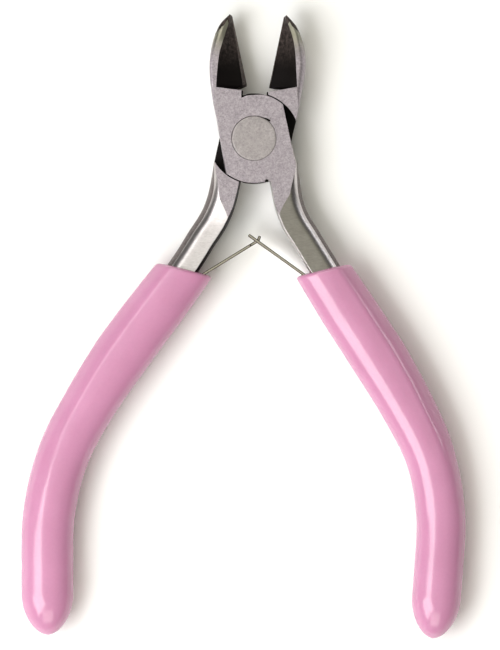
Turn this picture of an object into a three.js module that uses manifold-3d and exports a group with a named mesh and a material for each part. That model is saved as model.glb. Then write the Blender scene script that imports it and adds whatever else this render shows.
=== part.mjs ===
// Side cutters for jewellery wire, 115 mm long, with a riveted lap joint, two interlocking leaf springs and
// dipped vinyl grips. Millimetres, +Z up. The tool lies flat: the rivet's axis is Z, the jaws point to +Y.
// The origin is on the rivet's axis, on the back face of the joint. The jaws are open, as the springs hold them.
import * as THREE from "three";
import { mergeVertices } from "three/addons/utils/BufferGeometryUtils.js";
import Module from "manifold-3d";

const wasm = await Module();
wasm.setup();

// ---- driving dimensions ----
const JOINT_T = 7; // over the ground faces of the joint
const MID = JOINT_T / 2; // the lap plane, and the mid-plane of every piece
const LAP_GAP = 0.1; // between the two laps
const DISC_R = 7.9; // round end of each lap
const SHOULDER_GAP = 0.15; // between a lap's round end and the shoulder that it turns in
const CUT_OFFSET = 0.76; // the cutting line passes this far beside the rivet's axis
const RIVET_R = 2.75; // shank
const HEAD_R = 3.95; // countersunk head, where it meets the ground face
const HEAD_H = 1.5;
const RUNNING_GAP = 0.06; // radial, between the rivet and the laps
const BEHIND = 20; // how far a cutting tool reaches past what it cuts

const LEAF_T = 0.5; // spring leaf
const LEAF_W = 4;
const TONGUE_W = 1.6;
const SLOT_W = 2.2;
const VINYL_GAP = 0.2; // between a grip and what is inside it

const STEEL = 0xb6adb0;
const DARK_STEEL = 0xa9a3a2;
const SPRING_STEEL = 0xb9b3a0;
const PINK = 0xdf95bd;

// Each half is drawn as the front one: jaw up and to the left, lap in front, tang down and to the right.
// The rear half is then turned half a turn about the Y line at mid-thickness.
// open: how far the half is turned from closed. cut: which side of the rivet the cutting line passes.
const FRONT = {
  open: 12,
  cut: CUT_OFFSET,
  face: 1, // the side of mid-thickness on which the jaw has its wide bevel
  sideUp: [[-6.85, 5], [-5, -6.3]], // lap's side that runs down from the jaw
  sideDown: [[7.45, -5], [5.1, 6.1]], // lap's side that runs up from the tang
  spine: [[-5.9, 1], [-6.95, 5], [-7.45, 8], [-7.8, 11.2], [-7.75, 14.2], [-7.15, 17.4], [-6, 20.1], [-4.35, 21.8]],
  bevel: [[-6.65, 8.9], [-6.5, 11.5], [-6.1, 14.9], [-5.45, 17.2], [-4.8, 19.3], [-4.15, 21.2]],
  hone: 0.85, // width of the honed strip beside the cutting edge, at the heel
  heel: [-1.95, 8.6],
  notch: [-2, 7.3],
  path: [[5, -1], [5.05, -4.6], [5.6, -8.6], [6.25, -11.8], [7.35, -14.6], [9.2, -17.6], [12.45, -22.9], [19.6, -34.4],
    [26.5, -46], [30.95, -55.6], [32.9, -66], [32.5, -76.5], [31.5, -88]],
  gripHalf: 4.35,
  mouth: { at: [12.2, -23.2], slope: 12.5 },
  leaf: { root: [8.6, -23.8], tip: [-0.95, -16.95] },
};
const REAR = {
  open: 11.8,
  cut: -CUT_OFFSET,
  face: -1,
  sideUp: [[-7.65, 4.5], [-5.4, -6]],
  sideDown: [[7, -4.1], [4.7, 6.3]],
  spine: [[-6.9, 1], [-7.85, 5], [-8.4, 8], [-8.95, 11.2], [-9.1, 13.8], [-8.6, 17.1], [-7.45, 19.8], [-5.85, 21.6]],
  bevel: [[-7.6, 9], [-7.45, 11.5], [-7.3, 14.4], [-6.95, 17.2], [-6.3, 19.4], [-5.6, 21.1]],
  hone: 0.15,
  heel: [-2.25, 8.15],
  notch: [-2.25, 7.6],
  path: [[4.35, -1], [4.5, -4.6], [5.15, -8.6], [6, -11.8], [7.25, -14.6], [9.2, -17.6], [12.6, -22.9], [20.9, -34.4],
    [28.6, -46], [33.55, -55.6], [36.1, -66], [36.4, -76.5], [36.3, -87.4]],
  gripHalf: 4.6,
  mouth: { at: [12.4, -23.2], slope: 15 },
  leaf: { root: [8.8, -23.8], tip: [-1.6, -17.4] },
};

// ---- solids ----
const rad = THREE.MathUtils.degToRad;
const mix = THREE.MathUtils.lerp;
const smooth = THREE.MathUtils.smoothstep;

// A closed three.js geometry as a manifold-3d solid.
function solid(geometry) {
  const bare = geometry.clone();
  bare.deleteAttribute("normal");
  bare.deleteAttribute("uv");
  const merged = mergeVertices(bare, 1e-4);
  return new wasm.Manifold(new wasm.Mesh({
    numProp: 3,
    vertProperties: merged.attributes.position.array,
    triVerts: new Uint32Array(merged.index.array),
  }));
}

// A solid as a geometry, with flat faces.
function geometryOf(made) {
  const mesh = made.getMesh();
  const geometry = new THREE.BufferGeometry();
  geometry.setAttribute("position", new THREE.BufferAttribute(mesh.vertProperties, 3));
  geometry.setIndex(new THREE.BufferAttribute(mesh.triVerts, 1));
  const flat = geometry.toNonIndexed();
  flat.computeVertexNormals();
  return flat;
}

// A flat outline as a plate from z0 to z1.
function plate(shape, z0, z1, curveSegments = 40) {
  const geometry = new THREE.ExtrudeGeometry(shape, { depth: z1 - z0, bevelEnabled: false, curveSegments });
  return solid(geometry.translate(0, 0, z0));
}

function block(width, length, height, x, y, z) {
  return solid(new THREE.BoxGeometry(width, length, height).translate(x, y, z));
}

function disc(radius, z0, z1, segments = 64) {
  return solid(new THREE.CylinderGeometry(radius, radius, z1 - z0, segments)
    .rotateX(Math.PI / 2).translate(0, 0, (z0 + z1) / 2));
}

// A ring of points carried from one end to the other: ring(t) gives the points at t, from 0 to 1, all in the same
// order. The shape is a CylinderGeometry whose points are moved there.
function skin(ring, steps) {
  const rings = Array.from({ length: steps + 1 }, (_, i) => ring(i / steps));
  const count = rings[0].length;
  const geometry = new THREE.CylinderGeometry(1, 1, 1, count, steps);
  const position = geometry.attributes.position;
  const point = new THREE.Vector3();
  for (let i = 0; i < position.count; i++) {
    point.fromBufferAttribute(position, i);
    const points = rings[Math.round((point.y + 0.5) * steps)];
    if (Math.hypot(point.x, point.z) < 0.5) {
      point.set(0, 0, 0);
      points.forEach((p) => point.add(p));
      point.divideScalar(count);
    } else {
      const turn = Math.atan2(point.x, point.z) / (2 * Math.PI);
      point.copy(points[(Math.round(turn * count) + count) % count]);
    }
    position.setXYZ(i, point.x, point.y, point.z);
  }
  const made = solid(geometry);
  return made.volume() > 0 ? made : skin((t) => ring(t).reverse(), steps);
}

const curveOf = (points) => new THREE.SplineCurve(points.map(([x, y]) => new THREE.Vector2(x, y)));

// ---- the jaw ----
const SHOULDER_Y = 8.8; // where the bevel stops at the jaw's root
const FACE_FALL = 2; // how much lower the jaw's face is at the tip
const BACK_BEVEL = 2.4; // width of the bevel on the back

// Half the jaw's thickness at height y: flat as far as the middle, then falling to the tip.
const jawHalf = (y) => MID - FACE_FALL * smooth(y, 13, 22.5) ** 1.3;

// Where the cutting line is at height y.
const cutX = (half, y) => half.cut / Math.cos(rad(half.open)) - y * Math.tan(rad(half.open));

// The jaw's outer side is crowned: these are shares of the crown's depth and of the half thickness.
const CROWN = [[1, 1], [0.52, 0.86], [0.2, 0.66], [0.04, 0.4], [0, 0.13]];

// The jaw from its shoulder to its tip, as a ring of points at each height.
function blade(half) {
  const spine = curveOf(half.spine);
  const bevel = curveOf(half.bevel);
  const heel = half.bevel[0][1];
  const start = spineAt(spine, heel - 0.3);
  return skin((t) => {
    const o = spine.getPoint(mix(start, 1, t));
    const f = bevel.getPoint(t);
    const e = new THREE.Vector2(0, mix(heel - 0.3, half.spine.at(-1)[1] - 0.4, t));
    if (t === 0) f.y -= 0.3;
    e.x = cutX(half, e.y);
    const hone = mix(half.hone, 0.12, t);
    const h = jawHalf(o.y);
    const crown = Math.min(mix(0.9, 0.35, t), 0.8 * Math.abs(o.x - f.x));
    const ring = [[e.x, e.y, 0], [e.x - hone, e.y, Math.min(1.7 * hone, 0.8 * h)], [f.x, f.y, h]];
    CROWN.forEach(([a, b]) => ring.push([o.x + a * crown, mix(o.y, f.y, a * 0.2), b * h]));
    [...CROWN].reverse().forEach(([a, b]) => ring.push([o.x + a * crown, mix(o.y, f.y, a * 0.2), -b * h]));
    ring.push([e.x - Math.min(BACK_BEVEL, 0.6 * (e.x - o.x)), mix(e.y, o.y, 0.5), -h]);
    return ring.map(([x, y, z]) => new THREE.Vector3(x, y, MID + half.face * z));
  }, 12);
}

// The share of a curve at which it reaches height y.
function spineAt(curve, y) {
  for (let t = 0; t < 1; t += 0.002) if (curve.getPoint(t).y >= y) return t;
  return 1;
}

// The jaw's root, from inside the joint to the shoulder.
function jawRoot(half) {
  const spine = curveOf(half.spine);
  const end = spineAt(spine, half.bevel[0][1]);
  return skin((t) => {
    const o = spine.getPoint(mix(0, end, t));
    const wall = new THREE.Vector2(mix(half.notch[0], half.heel[0], smooth(t, 0.7, 1)), mix(1, half.heel[1], t));
    const crown = mix(0, 0.9, smooth(o.y, 5, 9.5));
    const ring = [[wall.x, wall.y, -1], [wall.x, wall.y, 1]];
    CROWN.forEach(([a, b]) => ring.push([o.x + a * crown, o.y, b]));
    [...CROWN].reverse().forEach(([a, b]) => ring.push([o.x + a * crown, o.y, -b]));
    return ring.map(([x, y, z]) => new THREE.Vector3(x, y, MID + z * MID));
  }, 8);
}

// ---- the lap ----
function lap(half) {
  const [upTop, upEnd] = half.sideUp.map(([x, y]) => new THREE.Vector2(x, y));
  const [downEnd, downTop] = half.sideDown.map(([x, y]) => new THREE.Vector2(x, y));
  const shape = new THREE.Shape();
  shape.moveTo(upTop.x, upTop.y);
  const lower = upEnd.clone().setLength(DISC_R);
  const upper = downTop.clone().setLength(DISC_R);
  const tangSide = new THREE.Vector2(2.3, -7.56);
  shape.lineTo(lower.x, lower.y);
  shape.absarc(0, 0, DISC_R, lower.angle(), tangSide.angle(), false);
  shape.lineTo(4, -8);
  shape.lineTo(downEnd.x, downEnd.y);
  shape.lineTo(upper.x, upper.y);
  const notch = new THREE.Vector2(half.notch[0] + 0.7, 7.75);
  shape.absarc(0, 0, DISC_R, upper.angle(), notch.angle(), false);
  shape.lineTo(half.notch[0], half.notch[1]);
  return plate(shape, MID + LAP_GAP / 2, JOINT_T, 32);
}

// ---- the tang ----
const TANG_HALF_W = 2.6;
const TANG_WIDTHS = [[0, 1.75], [3.5, TANG_HALF_W], [60, TANG_HALF_W], [90, 2.1]]; // half widths
const TANG_END = 7.5; // short of the grip's end

// Half the tang's height at a distance along it, measured at its inner edge.
const TANG_HEIGHTS = [[0, 5.5], [11, 4.15], [16, 3.6], [22, 3.15], [29, 2.85], [60, 2.5], [90, 2.1]];
const FACET_FALL = 0.2; // the broad facet falls outwards by this much per millimetre

// A value from a table of [distance, value] pairs.
function along(table, s) {
  const next = table.findIndex(([at]) => at >= s);
  if (next < 1) return next === 0 ? table[0][1] : table.at(-1)[1];
  const [[a, va], [b, vb]] = [table[next - 1], table[next]];
  return mix(va, vb, (s - a) / (b - a));
}

// The tang's section, seen along the tang: a flat inner side, a broad facet that falls outwards and a round back.
function tangSection(s, grow = 0) {
  const h = along(TANG_HEIGHTS, s);
  const w = along(TANG_WIDTHS, s);
  const back = h - FACET_FALL * 3.6;
  const upper = [[-w - grow, 0], [-w - grow, h - 0.3], [-w + 0.3, h + grow], [w - 1.7, back + grow],
    [w - 0.8 + 0.5 * grow, back * 0.84 + grow], [w - 0.2 + grow, back * 0.5], [w + grow, 0]];
  const lower = upper.slice(1, -1).reverse().map(([n, z]) => [n, -z]);
  return [...upper, ...lower];
}

// A section carried along a handle's path, from distance s0 to s1. The section's n axis points outwards.
// The steps are closer together near the start for a crowd above 1, and near the end for one below 1.
function handle(path, s0, s1, steps, crowd, section) {
  const total = path.getLength();
  return skin((t) => {
    const s = crowd > 1 ? mix(s0, s1, t ** crowd) : mix(s1, s0, (1 - t) ** (1 / crowd));
    const at = path.getPointAt(Math.min(s / total, 1));
    const ahead = path.getTangentAt(Math.min(s / total, 1));
    return section(s).map(([n, z]) => new THREE.Vector3(at.x - ahead.y * n, at.y + ahead.x * n, MID + z));
  }, steps);
}

const tang = (half, grow = 0, from = 0, more = 0) => {
  const path = curveOf(half.path);
  return handle(path, from, path.getLength() - TANG_END + more, 22, 1.35, (s) => tangSection(s, grow));
};

// ---- one forged half ----
function forging(half) {
  const slab = block(200, 300, JOINT_T, 0, 0, MID);
  const recess = disc(DISC_R + SHOULDER_GAP, -BEHIND, MID + LAP_GAP / 2);
  return lap(half).add(jawRoot(half)).add(blade(half)).add(tang(half))
    .intersect(slab).subtract(recess).subtract(rivetSolid(RUNNING_GAP));
}

// The rear half is the same forging turned half a turn about the Y line at mid-thickness.
function turnOver(made) {
  return made.translate([0, 0, -MID]).rotate([0, 180, 0]).translate([0, 0, MID]);
}

// ---- the joint's rivet: a shank with a countersunk head at both faces, ground flush ----
function rivetSolid(grow = 0) {
  const end = grow > 0 ? 1 : 0; // a hole runs past the faces
  const r = RIVET_R + grow;
  const head = HEAD_R + grow;
  const half = [[r, HEAD_H], [head, 0], ...(end ? [[head, -end]] : [])];
  const low = half.map(([x, y]) => new THREE.Vector2(x, y)).reverse();
  const high = half.map(([x, y]) => new THREE.Vector2(x, JOINT_T - y));
  const foot = new THREE.Vector2(0, -end);
  const top = new THREE.Vector2(0, JOINT_T + end);
  return solid(new THREE.LatheGeometry([foot, ...low, ...high, top], 48).rotateX(Math.PI / 2));
}

// ---- the springs ----
const FOOT_LENGTH = 9; // along the tang's inner side, under the grip
const FOOT_GAP = 0.12; // between the foot and the tang
const HINGE_GAP = 0.3; // the leaf is cut here, where its bending is gathered into one hinge
const RIVET_AT = 5.5; // along the foot
const PIN_R = 0.9;
const PIN_HEAD_R = 1.5;
const PIN_HEAD_H = 0.7;

// A strip of leaf from one point to another, standing on edge.
function strip(from, to, width, thick = LEAF_T) {
  const run = to.clone().sub(from);
  return solid(new THREE.BoxGeometry(run.length(), thick, width)
    .rotateZ(run.angle()).translate((from.x + to.x) / 2, (from.y + to.y) / 2, MID));
}

// Where the foot lies: a point on the tang's inner side at the mouth, and the direction down the tang.
function footLine(half) {
  const path = curveOf(half.path);
  const total = path.getLength();
  const share = spineDown(path, half.mouth.at[1]) / total;
  const ahead = path.getTangentAt(share);
  const out = new THREE.Vector2(-ahead.y, ahead.x);
  const at = path.getPointAt(share).addScaledVector(out, -(TANG_HALF_W + FOOT_GAP + LEAF_T / 2));
  return { at, ahead, out };
}

// The distance along a falling path at which it reaches height y.
function spineDown(path, y) {
  const total = path.getLength();
  for (let s = 0; s < total; s += 0.05) if (path.getPointAt(s / total).y <= y) return s;
  return total;
}

function footSolid(half, grow = 0) {
  const { at, ahead } = footLine(half);
  const root = new THREE.Vector2(...half.leaf.root);
  const tip = new THREE.Vector2(...half.leaf.tip);
  const lean = tip.clone().sub(root).normalize();
  // The leaf's line, followed back to where it meets the foot's.
  const cross = ahead.x * lean.y - ahead.y * lean.x;
  const gap = root.clone().sub(at);
  const s = (gap.x * lean.y - gap.y * lean.x) / cross;
  const bend = at.clone().addScaledVector(ahead, s);
  const low = bend.clone().addScaledVector(ahead, FOOT_LENGTH);
  const high = root.clone().addScaledVector(lean, -HINGE_GAP / 2 + grow);
  const knee = disc(LEAF_T / 2 + grow, MID - LEAF_W / 2 - grow, MID + LEAF_W / 2 + grow, 16)
    .translate([bend.x, bend.y, 0]);
  return strip(bend, low.addScaledVector(ahead, grow), LEAF_W + 2 * grow, LEAF_T + 2 * grow)
    .add(strip(bend, high, LEAF_W + 2 * grow, LEAF_T + 2 * grow)).add(knee);
}

// The pin that holds the foot: its shank goes into the tang and its head is on the leaf.
function pinSolid(half, grow = 0) {
  const { at, ahead, out } = footLine(half);
  const centre = at.clone().addScaledVector(ahead, RIVET_AT);
  const place = (made, n) => made.rotate([0, 90, THREE.MathUtils.radToDeg(out.angle())])
    .translate([centre.x + out.x * n, centre.y + out.y * n, MID]);
  const head = disc(PIN_HEAD_R + grow, -PIN_HEAD_H - grow, 0, 28);
  const shank = disc(PIN_R + grow, -0.1, 2.6 + grow, 28);
  return place(head.add(shank), -(LEAF_T / 2 + 0.06));
}

// The free arm of each leaf, from the hinge at the grip's mouth.
function armLine(half) {
  const root = new THREE.Vector2(...half.leaf.root);
  const tip = new THREE.Vector2(...half.leaf.tip);
  const lean = tip.clone().sub(root).normalize();
  return { root, lean, length: tip.distanceTo(root), at: (s) => root.clone().addScaledVector(lean, s) };
}

const SLOT = [8.75, 11.4]; // from the root along the front half's leaf
const NECK_AT = 9.6; // where the rear half's leaf narrows to its tongue
const TONGUE_END = 11.2;
const HOOK = { length: 0.85, turn: 38 };

function slottedArm(half) {
  const line = armLine(half);
  const slot = strip(line.at(SLOT[0]), line.at(SLOT[1]), SLOT_W, 2 * LEAF_T);
  return strip(line.at(HINGE_GAP / 2), line.at(line.length), LEAF_W).subtract(slot);
}

function tonguedArm(half) {
  const line = armLine(half);
  const lean = line.lean.clone().rotateAround(new THREE.Vector2(), -rad(HOOK.turn));
  const end = line.at(TONGUE_END).addScaledVector(lean, HOOK.length);
  return strip(line.at(HINGE_GAP / 2), line.at(NECK_AT), LEAF_W)
    .add(strip(line.at(NECK_AT - 0.3), line.at(TONGUE_END), TONGUE_W))
    .add(strip(line.at(TONGUE_END - 0.12), end, TONGUE_W));
}

// ---- the grips ----
const GRIP_END = 7; // length of the rounded end
// Half widths and half heights along the handle, measured from the mouth.
const GRIP_INNER = [[0, 5.1], [8, 5.3], [18, 5.1], [30, 4.75]];
const GRIP_OUTER = [[0, 4.3], [8, 4.6], [18, 4.95], [30, 4.6]];
const GRIP_HEIGHT = [[0, 4.15], [15, 4.4], [40, 4.3], [75, 4.1]];

function grip(half, inside) {
  const path = curveOf(half.path);
  const total = path.getLength();
  const mouth = spineDown(path, half.mouth.at[1]);
  const lower = half.gripHalf;
  const outer = handle(path, mouth - 6, total - 0.02, 28, 0.7, (s) => {
    const d = Math.max(s - mouth, 0);
    const left = Math.max(total - s, 0) / GRIP_END;
    const end = left < 1 ? (1 - (1 - left) ** 1.8) ** (1 / 1.8) : 1;
    const settle = smooth(d, 28, 42);
    const inner = mix(along(GRIP_INNER, d), lower, settle) * end;
    const outerHalf = mix(along(GRIP_OUTER, d), lower, settle) * end;
    const height = along(GRIP_HEIGHT, d) * end;
    const power = mix(0.8, 0.95, smooth(d, 20, 45));
    return Array.from({ length: 18 }, (_, k) => {
      const angle = Math.PI - (k / 18) * 2 * Math.PI;
      const c = Math.cos(angle);
      const q = Math.sin(angle);
      const n = Math.sign(c) * Math.abs(c) ** power * (c < 0 ? inner : outerHalf);
      return [n, Math.sign(q) * Math.abs(q) ** power * height];
    });
  });
  const slope = rad(half.mouth.slope);
  const above = solid(new THREE.BoxGeometry(60, BEHIND, 40).translate(0, BEHIND / 2, MID)
    .rotateZ(slope).translate(...half.mouth.at, 0));
  return outer.subtract(above).subtract(inside);
}

// ---- the assembly ----
const group = new THREE.Group();

function add(name, made, color, roughness, metalness) {
  const mesh = new THREE.Mesh(geometryOf(made), new THREE.MeshStandardMaterial({ color, roughness, metalness }));
  mesh.name = name;
  group.add(mesh);
}

function buildHalf(half, names, arm, place) {
  const pin = pinSolid(half);
  const foot = footSolid(half);
  const cavity = tang(half, VINYL_GAP, 16, 0.5).add(footSolid(half, VINYL_GAP)).add(pinSolid(half, VINYL_GAP));
  const bore = pinSolid(half, RUNNING_GAP);
  add(names.forging, place(forging(half).subtract(bore)), STEEL, 0.45, 1);
  add(names.foot, place(foot.subtract(bore)), SPRING_STEEL, 0.3, 1);
  add(names.pin, place(pin), DARK_STEEL, 0.4, 1);
  add(names.arm, place(arm(half)), SPRING_STEEL, 0.3, 1);
  add(names.grip, place(grip(half, cavity)), PINK, 0.25, 0);
}

buildHalf(FRONT, {
  forging: "front_half",
  foot: "right_spring_foot",
  pin: "right_spring_rivet",
  arm: "right_spring_arm",
  grip: "right_grip",
}, slottedArm, (made) => made);
buildHalf(REAR, {
  forging: "rear_half",
  foot: "left_spring_foot",
  pin: "left_spring_rivet",
  arm: "left_spring_arm",
  grip: "left_grip",
}, tonguedArm, turnOver);
add("joint_rivet", rivetSolid(), DARK_STEEL, 0.5, 1);

export default group;
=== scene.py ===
import math
from bisect import bisect_right

import bmesh
import bpy
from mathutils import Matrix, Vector


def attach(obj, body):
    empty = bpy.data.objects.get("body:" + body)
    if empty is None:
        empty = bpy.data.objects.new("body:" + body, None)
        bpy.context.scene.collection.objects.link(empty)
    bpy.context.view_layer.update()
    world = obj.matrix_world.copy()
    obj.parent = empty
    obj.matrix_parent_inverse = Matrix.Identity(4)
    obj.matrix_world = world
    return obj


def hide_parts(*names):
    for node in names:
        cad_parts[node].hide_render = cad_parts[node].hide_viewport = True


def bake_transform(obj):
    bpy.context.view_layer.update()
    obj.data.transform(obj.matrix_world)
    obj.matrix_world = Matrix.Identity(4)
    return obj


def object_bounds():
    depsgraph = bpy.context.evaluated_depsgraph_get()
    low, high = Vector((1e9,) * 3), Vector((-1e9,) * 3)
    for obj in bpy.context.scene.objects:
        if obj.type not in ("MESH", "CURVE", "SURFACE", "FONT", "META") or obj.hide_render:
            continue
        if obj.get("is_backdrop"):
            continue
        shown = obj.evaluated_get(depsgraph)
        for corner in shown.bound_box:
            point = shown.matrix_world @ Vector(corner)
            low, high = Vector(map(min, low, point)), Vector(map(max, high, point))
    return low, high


# Jewellers' side cutters with pink dipped grips, open on a pale table, seen from straight above.
# Lengths are in millimetres, until place() brings a finished piece to metres.
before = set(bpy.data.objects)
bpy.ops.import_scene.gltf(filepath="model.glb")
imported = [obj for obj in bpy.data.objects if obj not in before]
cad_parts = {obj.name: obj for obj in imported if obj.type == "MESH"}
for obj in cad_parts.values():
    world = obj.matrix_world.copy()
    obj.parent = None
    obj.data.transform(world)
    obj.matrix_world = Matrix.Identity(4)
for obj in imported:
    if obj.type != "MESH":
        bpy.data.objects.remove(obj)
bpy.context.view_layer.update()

MM = 0.001
JOINT_T = 7.0  # over the joint's ground faces
MID = JOINT_T / 2
LAP_GAP = 0.1
DISC_R = 7.9  # round end of each lap
SHOULDER_R = 8.05  # the shoulder that it turns in
CUT_OFFSET = 0.76  # the cutting line passes this far beside the rivet's axis
HEAD_R = 3.95  # the rivet's head, where it meets the ground face
LEAF_T = 0.5
LEAF_W = 4.0
SLOT_W = 2.2  # the right leaf's slot
TONGUE_W = 1.6  # the left leaf's tongue

# Each half is drawn as the front one; the rear one is then turned over about the Y line at mid-thickness.
# spine is the jaw's outer side, and bevel the line where its ground bevel meets the flat face.
# path is the middle of the tang and the grip.
# tongue is the edge of the matt face on the tang: (distance along the path, place across it).
# draft is how far the tang's inner side leans.
# crown is the depth of the jaw's rounded side, and flat how squarely it rounds.
# mouth is the middle of the grip's mouth, and mouth_slope its slant in degrees.
FRONT = {
    "open": 12.0,  # degrees from closed
    "cut": CUT_OFFSET,
    "face": 1,  # the side of mid-thickness that has the wide bevel
    "side_up": [(-6.85, 5), (-5, -6.3)],  # lap's side that runs down from the jaw
    "side_down": [(7.45, -5), (5.1, 6.1)],  # lap's side that runs up from the tang
    "spine": [(-5.9, 1), (-6.95, 5), (-7.45, 8), (-7.8, 11.2), (-7.75, 14.2), (-7.15, 17.4), (-6, 20.1),
              (-4.3, 21.9)],
    "bevel": [(-6.65, 9.05), (-6.5, 11.5), (-6.1, 14.9), (-5.45, 17.2), (-4.8, 19.3), (-4.15, 21.2)],
    "hone": 0.85,  # width of the honed strip beside the cutting edge, at the heel
    "edge_start": 9.5,  # below this the cutting edge is rounded away
    "heel": (-1.95, 8.42),
    "notch": (-2, 7.3),
    "path": [(5, -1), (5.05, -4.6), (5.6, -8.6), (6.25, -11.8), (7.35, -14.6), (9.2, -17.6), (12.45, -22.9),
             (19.6, -34.4), (26.5, -46), (30.95, -55.6), (32.9, -66), (32.5, -76.5), (31.5, -88)],
    "tongue": [(4.0, 2.9), (4.7, 2.3), (7.0, 1.33), (8.3, 0.35), (10.5, -1.06), (11.6, -2.1), (11.95, -2.6)],
    "draft": 0.3,
    "crown": 0.45,
    "flat": 0.27,
    "forged_and_shade_from": 8,  # strip of the round back from which it takes the dark forged material: partly forged skin, partly painted shade of the steep side
    "grip_half": 4.35,
    "mouth": (12.2, -23.1),
    "mouth_slope": 16.0,
    "leaf": [(8.6, -23.8), (-0.95, -16.95)],  # from the mouth to the tip
}
REAR = {
    "open": 11.8,
    "cut": -CUT_OFFSET,
    "face": -1,
    "side_up": [(-7.65, 4.5), (-5.4, -6)],
    "side_down": [(7, -4.1), (4.7, 6.3)],
    "spine": [(-6.9, 1), (-7.85, 5), (-8.4, 8), (-8.95, 11.2), (-9.1, 13.8), (-8.6, 17.1), (-7.45, 19.8),
              (-5.8, 21.72)],
    "bevel": [(-7.6, 9), (-7.45, 11.5), (-7.3, 14.4), (-6.95, 17.2), (-6.3, 19.4), (-5.6, 21.1)],
    "hone": 0.15,
    "edge_start": 8.9,
    "heel": (-2.25, 8.15),
    "notch": (-2.25, 7.6),
    "path": [(4.35, -1), (4.5, -4.6), (5.15, -8.6), (6, -11.8), (7.25, -14.6), (9.2, -17.6), (12.6, -22.9),
             (20.9, -34.4), (28.6, -46), (33.55, -55.6), (36.1, -66), (36.4, -76.5), (36.3, -87.4)],
    "tongue": [(4.7, 2.7), (8.0, 1.2), (11.2, -1.06), (12.3, -2.1), (12.8, -2.6)],
    "draft": 0.46,
    "crown": 1.1,
    "flat": 0.45,
    "forged_and_shade_from": 7,
    "grip_half": 4.6,
    "mouth": (12.4, -22.95),
    "mouth_slope": 17.5,
    "leaf": [(8.8, -23.8), (-1.6, -17.4)],
}


# ---- small mathematics ----
def mix(a, b, t):
    return a + (b - a) * t


def smooth(x, a, b):
    t = min(max((x - a) / (b - a), 0), 1)
    return t * t * (3 - 2 * t)


def along(table, s):
    """A value from a table of (distance, value) pairs."""
    if s <= table[0][0]:
        return table[0][1]
    for (a, va), (b, vb) in zip(table, table[1:]):
        if s <= b:
            return mix(va, vb, (s - a) / (b - a))
    return table[-1][1]


def eased(table, s, reach):
    """The same, with the table's corners rounded over a distance of reach each way."""
    return sum(along(table, s + reach * k / 6) for k in range(-6, 7)) / 13


def spline(points, t):
    """A point on the Catmull-Rom curve through the points."""
    last = len(points) - 1
    place_along = min(max(t, 0), 1) * last
    i = min(int(place_along), last - 1)
    f = place_along - i
    a, b, c, d = (Vector(points[min(max(i + k, 0), last)]) for k in (-1, 0, 1, 2))
    squared = 2 * a - 5 * b + 4 * c - d
    cubed = 3 * b - a - 3 * c + d
    return 0.5 * (2 * b + (c - a) * f + squared * f ** 2 + cubed * f ** 3)


def share_at(points, y, steps=800):
    """The share of a rising curve at which it reaches height y."""
    return next((i / steps for i in range(steps + 1) if spline(points, i / steps).y >= y), 1)


class Path:
    """A spline that is walked by distance."""

    STEPS = 1200
    NEARBY = 1e-3

    def __init__(self, points):
        self.points = points
        self.sums = [0.0]
        before = spline(points, 0)
        for i in range(1, self.STEPS + 1):
            here = spline(points, i / self.STEPS)
            self.sums.append(self.sums[-1] + (here - before).length)
            before = here
        self.length = self.sums[-1]

    def share(self, s):
        low = min(max(bisect_right(self.sums, s) - 1, 0), self.STEPS - 1)
        step = self.sums[low + 1] - self.sums[low]
        return (low + min(max((s - self.sums[low]) / step, 0), 1)) / self.STEPS

    def at(self, s):
        """The point, and the direction ahead, at distance s."""
        t = self.share(s)
        ahead = spline(self.points, min(t + self.NEARBY, 1)) - spline(self.points, max(t - self.NEARBY, 0))
        return spline(self.points, t), ahead.normalized()

    def down_to(self, y):
        """The distance at which a falling path reaches height y."""
        for i in range(self.STEPS + 1):
            if spline(self.points, i / self.STEPS).y <= y:
                return self.sums[i]
        return self.length


# ---- meshes ----
def new_object(name, bm, materials):
    mesh = bpy.data.meshes.new(name)
    bm.normal_update()
    bm.to_mesh(mesh)
    bm.free()
    obj = bpy.data.objects.new(name, mesh)
    bpy.context.scene.collection.objects.link(obj)
    for material in materials:
        mesh.materials.append(material)
    return obj


def loft(rings, strips=None):
    """A closed skin over rings of points. strips gives each strip of faces its material index."""
    bm = bmesh.new()
    rows = [[bm.verts.new(p) for p in ring] for ring in rings]
    count = len(rings[0])
    for low, high in zip(rows, rows[1:]):
        for k in range(count):
            n = (k + 1) % count
            face = bm.faces.new((low[k], low[n], high[n], high[k]))
            face.material_index = strips[k] if strips else 0
    bm.faces.new(rows[0][::-1])
    bm.faces.new(rows[-1])
    bmesh.ops.recalc_face_normals(bm, faces=bm.faces[:])
    return bm


def plate(outline, z0, z1):
    return loft([[(x, y, z) for x, y in outline] for z in (z0, z1)])


def circle(radius, count, centre=(0, 0)):
    angles = (k * 2 * math.pi / count for k in range(count))
    return [(centre[0] + radius * math.cos(a), centre[1] + radius * math.sin(a)) for a in angles]


def cut_flat(bm, z, side):
    """Cuts off everything past height z, above it for side 1 and below it for side -1, and closes the cut."""
    found = bmesh.ops.bisect_plane(bm, geom=bm.verts[:] + bm.edges[:] + bm.faces[:], dist=1e-5,
                                   plane_co=(0, 0, z), plane_no=(0, 0, side), clear_outer=True)
    rim = [e for e in found["geom_cut"] if isinstance(e, bmesh.types.BMEdge)]
    for face in bmesh.ops.edgenet_fill(bm, edges=rim)["faces"]:
        face.material_index = 0
    bmesh.ops.recalc_face_normals(bm, faces=bm.faces[:])


def combine(base, other, operation):
    """Adds the other object to the base, or cuts it out of it, and removes it."""
    modifier = base.modifiers.new("cut", "BOOLEAN")
    modifier.operation = operation
    modifier.object = other
    modifier.solver = "EXACT"
    bpy.context.view_layer.update()
    graph = bpy.context.evaluated_depsgraph_get()
    made = bpy.data.meshes.new_from_object(base.evaluated_get(graph))
    base.modifiers.clear()
    base.data = made
    bpy.data.objects.remove(other)


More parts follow.
